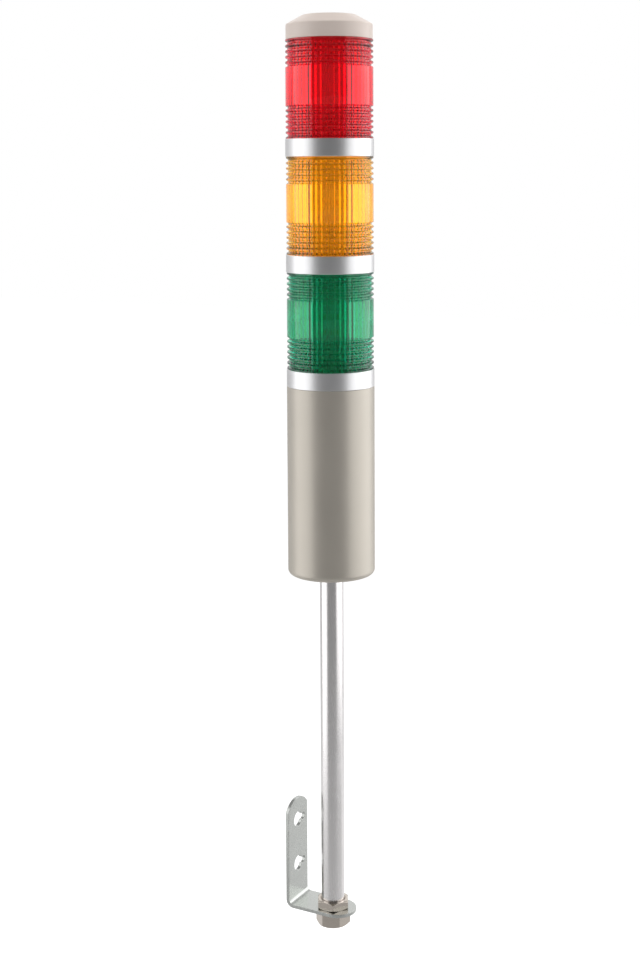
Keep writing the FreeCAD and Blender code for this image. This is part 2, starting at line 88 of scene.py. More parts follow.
# ------------------------------------------------------------------ node sheets
class Sheet:
    """A node tree with short calls for adding and joining nodes."""

    def __init__(self, tree: bpy.types.NodeTree) -> None:
        """Wrap a node tree.

        Args:
            tree: The tree of a material, a world or a node group.
        """
        self.tree = tree

    def add(self, kind: str, **settings: object) -> bpy.types.Node:
        """Add a node and set its properties.

        Args:
            kind: The node's type name.
            **settings: Properties of the node itself.

        Returns:
            The new node.
        """
        node = self.tree.nodes.new(kind)
        for name, value in settings.items():
            setattr(node, name, value)
        return node

    def join(self, source: bpy.types.NodeSocket, target: bpy.types.NodeSocket) -> None:
        """Link one socket to another."""
        self.tree.links.new(source, target)

    def feed(self, node: bpy.types.Node, **values: object) -> bpy.types.Node:
        """Give values or links to a node's inputs by name, with _ for a space.

        Args:
            node: The node that takes the inputs.
            **values: A socket to link, or a plain value, for each input.

        Returns:
            The same node.
        """
        for name, value in values.items():
            socket = node.inputs[name.replace("_", " ")]
            if isinstance(value, bpy.types.NodeSocket):
                self.join(value, socket)
            else:
                socket.default_value = value
        return node

    def math(self, operation: str, first: object, second: object = 0.0) -> bpy.types.NodeSocket:
        """Work out a value from two others.

        Args:
            operation: The Math node's operation.
            first: A socket or a number.
            second: A socket or a number.

        Returns:
            The output socket.
        """
        node = self.add("ShaderNodeMath", operation=operation)
        for socket, value in zip(node.inputs, (first, second)):
            if isinstance(value, bpy.types.NodeSocket):
                self.join(value, socket)
            else:
                socket.default_value = value
        return node.outputs[0]

    def spread(self, mask: bpy.types.NodeSocket, low: float, high: float) -> bpy.types.NodeSocket:
        """Map a mask from 0..1 to a range.

        Args:
            mask: The mask's socket.
            low: The value where the mask is 0.
            high: The value where the mask is 1.

        Returns:
            The output socket.
        """
        node = self.add("ShaderNodeMapRange")
        self.feed(node, Value=mask, To_Min=low, To_Max=high)
        return node.outputs["Result"]

    def ease(self, value: bpy.types.NodeSocket, span: Span, low: object,
             high: float) -> bpy.types.NodeSocket:
        """Go softly from one level to another as a value crosses a span.

        Args:
            value: The value's socket.
            span: Where the change starts and ends.
            low: The level before the span, as a socket or a number.
            high: The level after the span.

        Returns:
            The level's socket.
        """
        node = self.add("ShaderNodeMapRange", interpolation_type="SMOOTHSTEP")
        self.feed(node, Value=value, From_Min=span[0], From_Max=span[1], To_Min=low, To_Max=high)
        return node.outputs["Result"]

    def blend(self, mask: bpy.types.NodeSocket, first: Colour,
              second: Colour) -> bpy.types.NodeSocket:
        """Mix two colours by a mask.

        Args:
            mask: The mask's socket.
            first: The colour where the mask is 0.
            second: The colour where the mask is 1.

        Returns:
            The colour's output socket.
        """
        node = self.add("ShaderNodeMix", data_type="RGBA")
        self.join(mask, node.inputs["Factor"])
        # The node has an A, a B and a Result for each kind of value; these carry colours.
        node.inputs[6].default_value = (*first, 1.0)
        node.inputs[7].default_value = (*second, 1.0)
        return node.outputs[2]

    def bump(self, height: bpy.types.NodeSocket, strength: float,
             depth_mm: float) -> bpy.types.NodeSocket:
        """Turn a height into a normal.

        Args:
            height: The height's socket.
            strength: The bump's strength.
            depth_mm: The depth of a height of 1, in millimetres.

        Returns:
            The normal's output socket.
        """
        node = self.add("ShaderNodeBump")
        self.feed(node, Strength=strength, Distance=depth_mm * MM, Height=height)
        return node.outputs["Normal"]


def effect_group(name: str, inputs: dict[str, float],
                 outputs: Iterable[str]) -> tuple[Sheet, bpy.types.Node, bpy.types.Node]:
    """Start a shader node group of plain values.

    Args:
        name: The group's name.
        inputs: The input sockets' names and first values.
        outputs: The output sockets' names.

    Returns:
        The group's sheet, its input node and its output node.
    """
    tree = bpy.data.node_groups.new(name, "ShaderNodeTree")
    for label, value in inputs.items():
        socket = tree.interface.new_socket(label, in_out="INPUT", socket_type="NodeSocketFloat")
        socket.default_value = value
    for label in outputs:
        tree.interface.new_socket(label, in_out="OUTPUT", socket_type="NodeSocketFloat")
    sheet = Sheet(tree)
    return sheet, sheet.add("NodeGroupInput"), sheet.add("NodeGroupOutput")


def grain_effect() -> bpy.types.NodeTree:
    """Fine grain that may be stretched along the pole, with a slow mottle.

    Returns:
        A group with inputs Scale, Stretch and Mottle Scale, and outputs Grain and Mottle.
    """
    sheet, given, result = effect_group(
        "surface_grain", {"Scale": 900.0, "Stretch": 1.0, "Mottle Scale": 40.0}, ("Grain", "Mottle"))
    place = sheet.add("ShaderNodeTexCoord").outputs["Object"]
    squeeze = sheet.add("ShaderNodeCombineXYZ")
    sheet.feed(squeeze, X=1.0, Y=1.0, Z=given.outputs["Stretch"])
    stretched = sheet.add("ShaderNodeVectorMath", operation="MULTIPLY")
    sheet.join(place, stretched.inputs[0])
    sheet.join(squeeze.outputs[0], stretched.inputs[1])
    grain = sheet.add("ShaderNodeTexNoise")
    sheet.feed(grain, Vector=stretched.outputs[0], Scale=given.outputs["Scale"])
    sheet.feed(grain, Detail=3.0, Roughness=0.6)
    mottle = sheet.add("ShaderNodeTexNoise")
    sheet.feed(mottle, Vector=place, Scale=given.outputs["Mottle Scale"], Detail=2.0)
    sheet.join(grain.outputs["Fac"], result.inputs["Grain"])
    sheet.join(mottle.outputs["Fac"], result.inputs["Mottle"])
    return sheet.tree


def thread_effect() -> bpy.types.NodeTree:
    """Turns of a thread along Z.

    Returns:
        A group with the input Pitch in metres and the output Height.
    """
    sheet, given, result = effect_group("thread_turns", {"Pitch": 0.0005}, ("Height",))
    place = sheet.add("ShaderNodeTexCoord").outputs["Object"]
    parts = sheet.add("ShaderNodeSeparateXYZ")
    sheet.join(place, parts.inputs[0])
    turns = sheet.math("DIVIDE", parts.outputs["Z"], given.outputs["Pitch"])
    wave = sheet.math("PINGPONG", turns, 0.5)
    sheet.join(sheet.math("MULTIPLY", wave, 2.0), result.inputs["Height"])
    return sheet.tree


GRAIN = grain_effect()
THREAD = thread_effect()


# ------------------------------------------------------------------ finishes
@dataclass(frozen=True)
class Finish:
    """What every finish states: its names and its main colour."""

    name: str
    slot: str
    colour: Colour

    def material(self) -> bpy.types.Material:
        """Make the finish's material on first use, and find it after that.

        Returns:
            The material.
        """
        found = bpy.data.materials.get(self.name)
        if found is None:
            found = bpy.data.materials.new(self.name)
            found.use_nodes = True
            sheet = Sheet(found.node_tree)
            self.paint(sheet, sheet.tree.nodes["Principled BSDF"])
        return found

    def paint(self, sheet: Sheet, shader: bpy.types.Node) -> None:
        """Dress the Principled shader; each kind of finish has its own way."""
        raise NotImplementedError

    @staticmethod
    def grain(sheet: Sheet, scale: float, stretch: float, mottle: float) -> bpy.types.Node:
        """Place the shared grain effect with its own values.

        Args:
            sheet: The material's sheet.
            scale: The grain's scale.
            stretch: How much the grain is squeezed along Z, under 1 for long streaks.
            mottle: The mottle's scale.

        Returns:
            The group's node.
        """
        node = sheet.add("ShaderNodeGroup")
        node.node_tree = GRAIN
        return sheet.feed(node, Scale=scale, Stretch=stretch, Mottle_Scale=mottle)


@dataclass(frozen=True)
class Metal(Finish):
    """A bare, plated or painted metal with grain and a slow change of sheen."""

    roughness: float = 0.3
    roughness_spread: float = 0.08
    shade: float = 0.9
    grain_scale: float = 900.0
    stretch: float = 1.0
    mottle_scale: float = 40.0
    bump: float = 0.1
    bump_depth: float = 0.02
    metallic: float = 1.0

    def paint(self, sheet: Sheet, shader: bpy.types.Node) -> None:
        """Metal with grain in its colour, roughness and normal.

        Args:
            sheet: The material's sheet.
            shader: The Principled shader.
        """
        grain = self.grain(sheet, self.grain_scale, self.stretch, self.mottle_scale)
        shaded = tuple(channel * self.shade for channel in self.colour)
        colour = sheet.blend(grain.outputs["Mottle"], shaded, self.colour)
        total = sheet.math("ADD", grain.outputs["Grain"], grain.outputs["Mottle"])
        mean = sheet.math("MULTIPLY", total, 0.5)
        low = self.roughness - self.roughness_spread
        rough = sheet.spread(mean, low, self.roughness + self.roughness_spread)
        normal = sheet.bump(grain.outputs["Grain"], self.bump, self.bump_depth)
        sheet.feed(shader, Base_Color=colour, Roughness=rough, Normal=normal, Metallic=self.metallic)


@dataclass(frozen=True)
class Plastic(Finish):
    """A moulded plastic with a fine mould texture."""

    roughness: float = 0.4
    roughness_spread: float = 0.05
    shade: float = 0.96
    grain_scale: float = 1600.0
    mottle_scale: float = 60.0
    bump: float = 0.15
    bump_depth: float = 0.02

    def paint(self, sheet: Sheet, shader: bpy.types.Node) -> None:
        """Plastic with a mould texture in its colour, roughness and normal.

        Args:
            sheet: The material's sheet.
            shader: The Principled shader.
        """
        grain = self.grain(sheet, self.grain_scale, 1.0, self.mottle_scale)
        shaded = tuple(channel * self.shade for channel in self.colour)
        colour = sheet.blend(grain.outputs["Mottle"], shaded, self.colour)
        low = self.roughness - self.roughness_spread
        rough = sheet.spread(grain.outputs["Grain"], low, self.roughness + self.roughness_spread)
        normal = sheet.bump(grain.outputs["Grain"], self.bump, self.bump_depth)
        sheet.feed(shader, Base_Color=colour, Roughness=rough, Normal=normal)


@dataclass(frozen=True)
class ClearLens(Finish):
    """Clear coloured polycarbonate."""

    roughness: float = 0.03
    roughness_spread: float = 0.04
    shade: float = 0.9
    grain_scale: float = 700.0
    stretch: float = 0.3
    mottle_scale: float = 50.0
    bump: float = 0.08
    bump_depth: float = 0.02
    clear: float = 1.0
    ior: float = 1.58

    def paint(self, sheet: Sheet, shader: bpy.types.Node) -> None:
        """Coloured glass with faint flow marks from moulding.

        Args:
            sheet: The material's sheet.
            shader: The Principled shader.
        """
        grain = self.grain(sheet, self.grain_scale, self.stretch, self.mottle_scale)
        shaded = tuple(channel * self.shade for channel in self.colour)
        colour = sheet.blend(grain.outputs["Mottle"], shaded, self.colour)
        high = self.roughness + self.roughness_spread
        rough = sheet.spread(grain.outputs["Mottle"], self.roughness, high)
        normal = sheet.bump(grain.outputs["Grain"], self.bump, self.bump_depth)
        sheet.feed(shader, Base_Color=colour, Roughness=rough, Normal=normal)
        sheet.feed(shader, Transmission_Weight=self.clear, IOR=self.ior)


@dataclass(frozen=True)
class Board(Finish):
    """Circuit board: solder mask with faint tracks under it."""

    roughness: float = 0.35
    track_scale: float = 420.0
    track_width: float = 0.03
    track_change: float = 1.8
    bump: float = 0.3
    bump_depth: float = 0.03

    def paint(self, sheet: Sheet, shader: bpy.types.Node) -> None:
        """Solder mask whose colour and height follow a pattern of tracks.

        Args:
            sheet: The material's sheet.
            shader: The Principled shader.
        """
        place = sheet.add("ShaderNodeTexCoord").outputs["Object"]
        tracks = sheet.add("ShaderNodeTexBrick", offset=0.5)
        sheet.feed(tracks, Vector=place, Scale=self.track_scale, Mortar_Size=self.track_width)
        over_track = tuple(channel * self.track_change for channel in self.colour)
        colour = sheet.blend(tracks.outputs["Fac"], self.colour, over_track)
        normal = sheet.bump(tracks.outputs["Fac"], self.bump, self.bump_depth)
        sheet.feed(shader, Base_Color=colour, Normal=normal, Roughness=self.roughness)


@dataclass(frozen=True)
class Threaded(Finish):
    """Plated steel rod with a fine thread, and painted shade in the thread's roots."""

    roughness: float = 0.32
    pitch: float = 0.5
    # painted shade: the colour's factor in the thread's roots, where shade falls
    painted_root_shade: float = 0.5
    bump: float = 0.8
    bump_depth: float = 0.25

    def paint(self, sheet: Sheet, shader: bpy.types.Node) -> None:
        """Metal with thread turns in its normal, and painted shade in the thread's roots in its colour.

        Args:
            sheet: The material's sheet.
            shader: The Principled shader.
        """
        turns = sheet.add("ShaderNodeGroup")
        turns.node_tree = THREAD
        sheet.feed(turns, Pitch=self.pitch * MM)
        # painted shade: the colour darkens toward the thread's roots, where shade falls
        roots_with_painted_shade = tuple(channel * self.painted_root_shade for channel in self.colour)
        colour = sheet.blend(turns.outputs["Height"], roots_with_painted_shade, self.colour)
        normal = sheet.bump(turns.outputs["Height"], self.bump, self.bump_depth)
        sheet.feed(shader, Base_Color=colour, Normal=normal, Metallic=1.0, Roughness=self.roughness)


SILVER_RING = Metal("bright_silver_ring", "silver_ring", (0.80, 0.80, 0.81), roughness=0.4,
                    roughness_spread=0.03, grain_scale=2500.0, bump=0.03)
SILVER_BODY = Metal("satin_silver_body", "silver_body", (0.565, 0.525, 0.463), roughness=0.42,
                    metallic=0.6, roughness_spread=0.05, grain_scale=2200.0, bump=0.06)
POLE_METAL = Metal("satin_aluminium_pole", "pole_aluminium", (0.86, 0.84, 0.84), roughness=0.27,
                   roughness_spread=0.06, grain_scale=2600.0, stretch=0.02, bump=0.03)
ZINC = Metal("bright_zinc_sheet", "zinc_plate", (0.55, 0.565, 0.545), roughness=0.27,
             roughness_spread=0.06, shade=0.86, grain_scale=500.0, mottle_scale=110.0, bump=0.08)
NICKEL = Metal("nickel_plated_nut", "nickel_plate", (0.57, 0.515, 0.46), roughness=0.19,
               roughness_spread=0.06, grain_scale=1500.0, bump=0.05)
STEEL = Metal("plated_steel_hardware", "steel_hardware", (0.62, 0.62, 0.63), roughness=0.3)
ROD = Threaded("threaded_steel_rod", "steel_hardware", (0.5, 0.5, 0.52))
IVORY = Plastic("ivory_moulded_cap", "ivory_plastic", (0.74, 0.64, 0.58), roughness=0.36)
WHITE = Plastic("white_moulding", "white_moulding", (0.86, 0.86, 0.84), roughness=0.45)
TERMINAL = Plastic("terminal_plastic", "terminal_plastic", (0.10, 0.36, 0.20), roughness=0.4)
BOARD_MASK = Board("green_solder_mask", "circuit_board", (0.03, 0.16, 0.09))
LED_MASK = Board("white_solder_mask", "circuit_board", (0.88, 0.88, 0.86), track_change=0.9)
LED_FRAME = Plastic("led_frame", "led_package", (0.90, 0.90, 0.87), roughness=0.3)
LED_GEL = Plastic("led_gel", "led_package", (0.80, 0.60, 0.12), roughness=0.15)
LENSES = {
    Tier.RED: ClearLens("clear_red_lens", "red_lens", (0.86, 0.006, 0.04)),
    Tier.AMBER: ClearLens("clear_amber_lens", "amber_lens", (1.0, 0.54, 0.02)),
    Tier.GREEN: ClearLens("clear_green_lens", "green_lens", (0.003, 0.42, 0.235)),
}
INNER_FINISHES = {
    "body_deck": WHITE,
    "deck_screws": STEEL,
    "control_board": BOARD_MASK,
    "control_board_screws": STEEL,
    "terminal_block": TERMINAL,
    "terminal_screws": STEEL,
    "pole_lock_nut": STEEL,
    "pole_lock_washer": STEEL,
    "top_clamp_plate": WHITE,
    "tie_rods": ROD,
    "tie_rod_nuts": STEEL,
}


# ------------------------------------------------------------------ mesh tools
LARGEST_REACH = 0.42     # the most of a side that one rounding may take
BESIDE_REACH = 1.12      # where the point beside an arc stands, in reaches of the rounding
TURN_STEPS = 160         # steps of a full turn on the wide round pieces
WELD = 1e-7              # points closer than this are one, in metres
ROUNDING_SEGMENTS = 3


def soften(corners: Sequence[Corner], steps: int = 4, beside: bool = True) -> Outline:
    """Round the corners of an open outline.

    Args:
        corners: Points as (across, up, rounding), in millimetres.
        steps: The number of spans in each rounding.
        beside: Whether a point stands beside each arc, which keeps the flat's shading flat.

    Returns:
        The outline's points, with an arc at each rounded corner.
    """
    points: Outline = []
    for i, (x, z, rounding) in enumerate(corners):
        if rounding <= 0 or i in (0, len(corners) - 1):
            points.append((x, z))
            continue
        here = Vector((x, z))
        before = Vector(corners[i - 1][:2]) - here
        after = Vector(corners[i + 1][:2]) - here
        half = before.angle(after) / 2
        room = LARGEST_REACH * min(before.length, after.length)
        reach = min(rounding / math.tan(half), room)
        radius = reach * math.tan(half)
        middle = (before.normalized() + after.normalized()).normalized()
        centre = here + middle * (radius / math.sin(half))
        start = here + before.normalized() * reach - centre
        end = here + after.normalized() * reach - centre
        sweep = start.angle_signed(end)
        if beside:
            points.append(tuple(here + before.normalized() * reach * BESIDE_REACH))
        for k in range(steps + 1):
            turned = start.copy()
            turned.rotate(Matrix.Rotation(-sweep * k / steps, 2))
            points.append(tuple(centre + turned))
        if beside:
            points.append(tuple(here + after.normalized() * reach * BESIDE_REACH))
    return points


def lathe(outline: Outline, steps: int = TURN_STEPS, closed: bool = True) -> bmesh.types.BMesh:
    """Spin an outline of (radius, height) round Z.

    Args:
        outline: The half section, in millimetres.
        steps: The number of steps in the full turn.
        closed: Whether the last point joins the first.

    Returns:
        The turned shape, about the origin.
    """
    mesh = bmesh.new()
    verts = [mesh.verts.new((r * MM, 0.0, z * MM)) for r, z in outline]
    pairs = list(zip(verts, verts[1:]))
    if closed:
        pairs.append((verts[-1], verts[0]))
    edges = [mesh.edges.new(pair) for pair in pairs]
    bmesh.ops.spin(mesh, geom=verts + edges, cent=(0, 0, 0), axis=(0, 0, 1), dvec=(0, 0, 0),
                   angle=2 * math.pi, steps=steps, use_merge=True, use_normal_flip=False,
                   use_duplicate=False)
    bmesh.ops.remove_doubles(mesh, verts=mesh.verts, dist=WELD)
    bmesh.ops.recalc_face_normals(mesh, faces=mesh.faces)
    return mesh


def finish_piece(mesh: bmesh.types.BMesh, name: str, finish: Finish, nodes: Sequence[str],
                 body: str = TOWER, sharp_deg: float = 32.0) -> bpy.types.Object:
    """Turn a finished bmesh into a piece of the object.

    Args:
        mesh: The shape, in place, in metres.
        name: The piece's name.
        finish: The finish that covers it.
        nodes: The CAD nodes that it stands for.
        body: The CAD body that it rides on.
        sharp_deg: Edges that turn by more than this stay sharp.

    Returns:
        The piece's object.
    """
    data = bpy.data.meshes.new(name)
    mesh.to_mesh(data)
    mesh.free()
    data.shade_smooth()
    data.set_sharp_from_angle(angle=math.radians(sharp_deg))
    data.materials.append(finish.material())
    piece = bpy.data.objects.new(name, data)
    bpy.context.scene.collection.objects.link(piece)
    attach(piece, body)
    if nodes:
        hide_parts(*nodes)
    LOG.info("%s: %d faces", name, len(data.polygons))
    return piece


def round_edges(piece: bpy.types.Object, width_mm: float, angle_deg: float) -> None:
    """Round a piece's sharp edges and keep its flats shaded flat.

    Args:
        piece: The piece's object.
        width_mm: The width of the rounding.
        angle_deg: Edges that turn by more than this are rounded.
    """
    rounding = piece.modifiers.new("edge_rounding", "BEVEL")
    rounding.width = width_mm * MM
    rounding.segments = ROUNDING_SEGMENTS
    rounding.limit_method = "ANGLE"
    rounding.angle_limit = math.radians(angle_deg)
    rounding.harden_normals = True


def dress_node(node: str, finish: Finish) -> None:
    """Give a finish to a CAD node that is shown as it is.

    Args:
        node: The node's name.
        finish: The finish that covers it.
    """
    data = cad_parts[node].data
    data.materials.clear()
    data.materials.append(finish.material())
    LOG.info("%s: dressed", node)


def heights(node: str) -> tuple[float, float]:
    """A CAD node's lowest and highest point, in millimetres."""
    low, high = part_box(node)
    return low.z / MM, high.z / MM


def pole_axis() -> Vector:
    """Find where the pole's axis crosses the height of the origin.

    Returns:
        The point, in metres.
    """
    low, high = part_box("pole")
    middle = (low + high) / 2
    return Vector((middle.x, middle.y, 0.0))


def onto_pole(mesh: bmesh.types.BMesh, turn_deg: float = 0.0) -> None:
    """Turn a shape about Z and move it from the origin onto the pole's axis.

    Args:
        mesh: The shape.
        turn_deg: The turn, counter-clockwise from above.
    """
    bmesh.ops.rotate(mesh, cent=(0, 0, 0), matrix=Matrix.Rotation(math.radians(turn_deg), 3, "Z"),
                     verts=mesh.verts)
    bmesh.ops.translate(mesh, vec=pole_axis(), verts=mesh.verts)


# ------------------------------------------------------------------ light tiers
@dataclass
class LightTier:
    """One tier: a lens, its silver ring and the lit board inside."""

    tier: Tier
    lens_r: float = 24.7
    socket_r: float = 22.6
    spigot_r: float = 22.4
    bore_r: float = 20.9
    bore_slack: float = 0.01
    socket_h: float = 2.2
    lens_round: float = 0.15
    socket_round: float = 0.1
    spigot_round: float = 0.2
    groove_pitch: float = 3.05
    groove_depth: float = 1.2
    rib_land: float = 0.9
    rib_flank: float = 0.72
    rib_round: float = 0.3
    rib_arc_steps: int = 2
    upper_groove_count: int = 5
    lower_groove_count: int = 6
    flute_count: int = 48
    flute_depth: float = 0.5
    steps_per_flute: int = 8
    lens_sharp_deg: float = 50.0
    ring_r: float = 25.0
    ring_web: float = 2.0
    spigot_h: float = 2.0
    ring_round: float = 0.35
    inner_round: float = 0.1
    socket_edge_round: float = 0.15
    web_round: float = 0.2
    led_w: float = 5.0
    led_t: float = 1.6
    led_pitch: float = 7.5
    led_rim: float = 0.7
    led_slope: float = 0.2
    led_recess: float = 0.35
    gel_r: float = 1.55
    gel_t: float = 0.2
    gel_drop: float = 0.3
    gel_sides: int = 20
    board_t: float = 1.6
    head_turn_deg: float = -61.0

    def build(self) -> None:
        """Build and dress every piece of the tier."""
        self.lens()
        self.ring()
        self.leds()
        dress_node(f"{self.tier.value}_led_board", LED_MASK)
        dress_node(f"{self.tier.value}_board_holder", WHITE)

    def rib_corners(self, first_z: float, count: int) -> list[Corner]:
        """Corners of a run of grooves, from the bottom up.

        Args:
            first_z: The height of the lowest groove's lower edge.
            count: The number of grooves.

        Returns:
            The corners, each with its rounding.
        """
        corners: list[Corner] = []
        root_r = self.lens_r - self.groove_depth
        for i in range(count):
            low = first_z + i * self.groove_pitch
            high = low + self.groove_pitch - self.rib_land
            corners += [
                (self.lens_r, low, self.rib_round), (root_r, low + self.rib_flank, self.rib_round),
                (root_r, high - self.rib_flank, self.rib_round), (self.lens_r, high, self.rib_round),
            ]
        return corners

    def flute(self, mesh: bmesh.types.BMesh) -> None:
        """Push the bore of a turned lens outward into rounded upright flutes.

        Args:
            mesh: The lens, about the origin.
        """
        for vert in mesh.verts:
            radius = math.hypot(vert.co.x, vert.co.y)
            if radius < (self.bore_r + self.bore_slack) * MM:
                angle = math.atan2(vert.co.y, vert.co.x)
                wave = (1 - math.cos(angle * self.flute_count)) / 2
                grown = 1 + self.flute_depth * wave / self.bore_r
                vert.co.x *= grown
                vert.co.y *= grown

    def lens(self) -> None:
        """Lens with ribs outside and upright flutes inside."""
        name = f"{self.tier.value}_lens"
        low, top = heights(name)
        shoulder = heights(f"{self.tier.value}_module_ring")[1]
        upper_z = top - self.upper_groove_count * self.groove_pitch
        lower = self.rib_corners(shoulder + self.rib_land, self.lower_groove_count)
        upper = self.rib_corners(upper_z, self.upper_groove_count)
        socket_z = top - self.socket_h
        corners = [
            (self.bore_r, low, 0.0), (self.spigot_r, low, self.spigot_round),
            (self.spigot_r, shoulder, 0.0), (self.lens_r, shoulder, self.lens_round),
            *lower, *upper, (self.lens_r, top, self.lens_round),
            (self.socket_r, top, self.socket_round), (self.socket_r, socket_z, 0.0),
            (self.bore_r, socket_z, 0.0),
        ]
        outline = soften(corners, self.rib_arc_steps, beside=False)
        mesh = lathe(outline, self.flute_count * self.steps_per_flute)
        self.flute(mesh)
        onto_pole(mesh)
        finish_piece(mesh, f"{name}_ribbed", LENSES[self.tier], [name],
                     sharp_deg=self.lens_sharp_deg)

    def ring(self) -> None:
        """Silver ring with soft edges, a web across it and a spigot."""
        name = f"{self.tier.value}_module_ring"
        low, top = heights(name)
        seat = low + self.spigot_h
        web_z = seat + self.ring_web
        corners = [
            (0.0, seat, 0.0), (self.bore_r, seat, 0.0), (self.bore_r, low, self.inner_round),
            (self.spigot_r, low, self.spigot_round), (self.spigot_r, seat, 0.0),
            (self.ring_r, seat, self.ring_round), (self.ring_r, top, self.ring_round),
            (self.socket_r, top, self.socket_edge_round), (self.socket_r, web_z, self.web_round),
            (0.0, web_z, 0.0),
        ]
        mesh = lathe(soften(corners), closed=False)
        onto_pole(mesh)
        finish_piece(mesh, f"{name}_shell", SILVER_RING, [name])

    def leds(self) -> None:
        """LED packages with a recessed round window on both faces of the board."""
        name = f"{self.tier.value}_leds"
        low, high = heights(name)
        count = round((high - low - self.led_w) / self.led_pitch) + 1
        frames = bmesh.new()
        gels = bmesh.new()
        for i in range(count):
            z = low + self.led_w / 2 + i * self.led_pitch
            for side in (1, -1):
                self.led_package(frames, gels, z, side)
        for mesh in (frames, gels):
            bmesh.ops.recalc_face_normals(mesh, faces=mesh.faces)
            onto_pole(mesh, self.head_turn_deg)
        finish_piece(frames, f"{name}_frames", LED_FRAME, [name])
        finish_piece(gels, f"{name}_gel", LED_GEL, [])

    def led_package(self, frames: bmesh.types.BMesh, gels: bmesh.types.BMesh, z: float,
                    side: int) -> None:
        """Add one package to the frames and its gel to the gels.

        Args:
            frames: The mesh of white frames.
            gels: The mesh of gel windows.
            z: The package's middle height, in millimetres.
            side: 1 for the board's +Y face, -1 for the other.
        """
        middle_y = side * (self.board_t + self.led_t) / 2
        place = Matrix.Translation(Vector((0, middle_y, z)) * MM)
        size = Matrix.Diagonal((self.led_w * MM, self.led_t * MM, self.led_w * MM, 1.0))
        made = bmesh.ops.create_cube(frames, size=1.0, matrix=place @ size)["verts"]
        faces = {face for vert in made for face in vert.link_faces}
        front = max(faces, key=lambda face: side * face.calc_center_median().y)
        bmesh.ops.inset_individual(frames, faces=[front], thickness=self.led_rim * MM, depth=0.0)
        bmesh.ops.inset_individual(frames, faces=[front], thickness=self.led_slope * MM,
                                   depth=-self.led_recess * MM)
        window_y = middle_y + side * (self.led_t / 2 - self.gel_drop)
        window = Matrix.Translation(Vector((0, window_y, z)) * MM)
        turn = Matrix.Rotation(math.radians(90), 4, "X")
        bmesh.ops.create_cone(gels, cap_ends=True, segments=self.gel_sides, radius1=self.gel_r * MM,
                              radius2=self.gel_r * MM, depth=self.gel_t * MM, matrix=window @ turn)


# ------------------------------------------------------------------ top of the light
@dataclass
class TopCap:
    """Ivory cap: straight side, low conical top, hollow underneath."""

    side_r: float = 24.4
    wall: float = 2.0
    side_h: float = 8.5
    top_r: float = 15.0
    side_round: float = 1.0
    top_round: float = 2.5
    rim_round: float = 0.3
    inner_rim_round: float = 0.2
    inner_round: float = 0.5
    arc_steps: int = 6

    def build(self) -> None:
        """Build and dress the cap."""
        low, top = heights("top_cap")
        side = low + self.side_h
        inner_r = self.side_r - self.wall
        corners = [
            (0.0, top, 0.0), (self.top_r, top, self.top_round), (self.side_r, side, self.side_round),
            (self.side_r, low, self.rim_round), (inner_r, low, self.inner_rim_round),
            (inner_r, side - self.wall / 2, self.inner_round),
            (self.top_r - self.wall / 2, top - self.wall, self.inner_round),
            (0.0, top - self.wall, 0.0),
        ]
        mesh = lathe(soften(corners, self.arc_steps), closed=False)
        onto_pole(mesh)
        finish_piece(mesh, "top_cap_moulding", IVORY, ["top_cap"])


# ------------------------------------------------------------------ body
@dataclass
class Body:
    """Silver cup under the lights, with a boss for the pole."""

    outer_r: float = 25.0
    bore_r: float = 22.6
    floor: float = 3.0
    corner_r: float = 3.0
    rim_round: float = 0.35
    pole_hole_r: float = 6.8
    boss_r: float = 10.3
    boss_h: float = 8.0
    boss_round: float = 0.4
    inner_rim_round: float = 0.2
    inner_round: float = 1.0
    arc_steps: int = 8

    def build(self) -> None:
        """Build and dress the housing, and dress what is inside the light."""
        self.housing()
        for node, finish in INNER_FINISHES.items():
            dress_node(node, finish)

    def housing(self) -> None:
        """Cup with a rounded foot and a boss round the pole's hole."""
        low, top = heights("body_housing")
        floor_z = low + self.floor
        boss_z = floor_z + self.boss_h
        corners = [
            (self.pole_hole_r, boss_z, 0.0), (self.pole_hole_r, low, self.boss_round),
            (self.outer_r, low, self.corner_r), (self.outer_r, top, self.rim_round),
            (self.bore_r, top, self.inner_rim_round), (self.bore_r, floor_z, self.inner_round),
            (self.boss_r, floor_z, self.inner_round), (self.boss_r, boss_z, self.boss_round),
            (self.pole_hole_r + self.boss_round, boss_z, 0.0),
        ]
        mesh = lathe(soften(corners, self.arc_steps))
        onto_pole(mesh)
        finish_piece(mesh, "body_housing_shell", SILVER_BODY, ["body_housing"])


# ------------------------------------------------------------------ pole and nuts
@dataclass
class Pole:
    """Aluminium tube, open at both ends."""

    outer_r: float = 6.75
    bore_r: float = 5.55
    end_round: float = 0.4
    bore_round: float = 0.1
    turn_steps: int = 96

    def build(self) -> None:
        """Build and dress the tube."""
        low, top = heights("pole")
        corners = [
            (self.bore_r, low, 0.0), (self.outer_r, low, self.end_round),
            (self.outer_r, top, self.end_round), (self.bore_r, top, self.bore_round),
            (self.bore_r, (low + top) / 2, 0.0),
        ]
        mesh = lathe(soften(corners), self.turn_steps)
        onto_pole(mesh)
        finish_piece(mesh, "pole_tube", POLE_METAL, ["pole"])


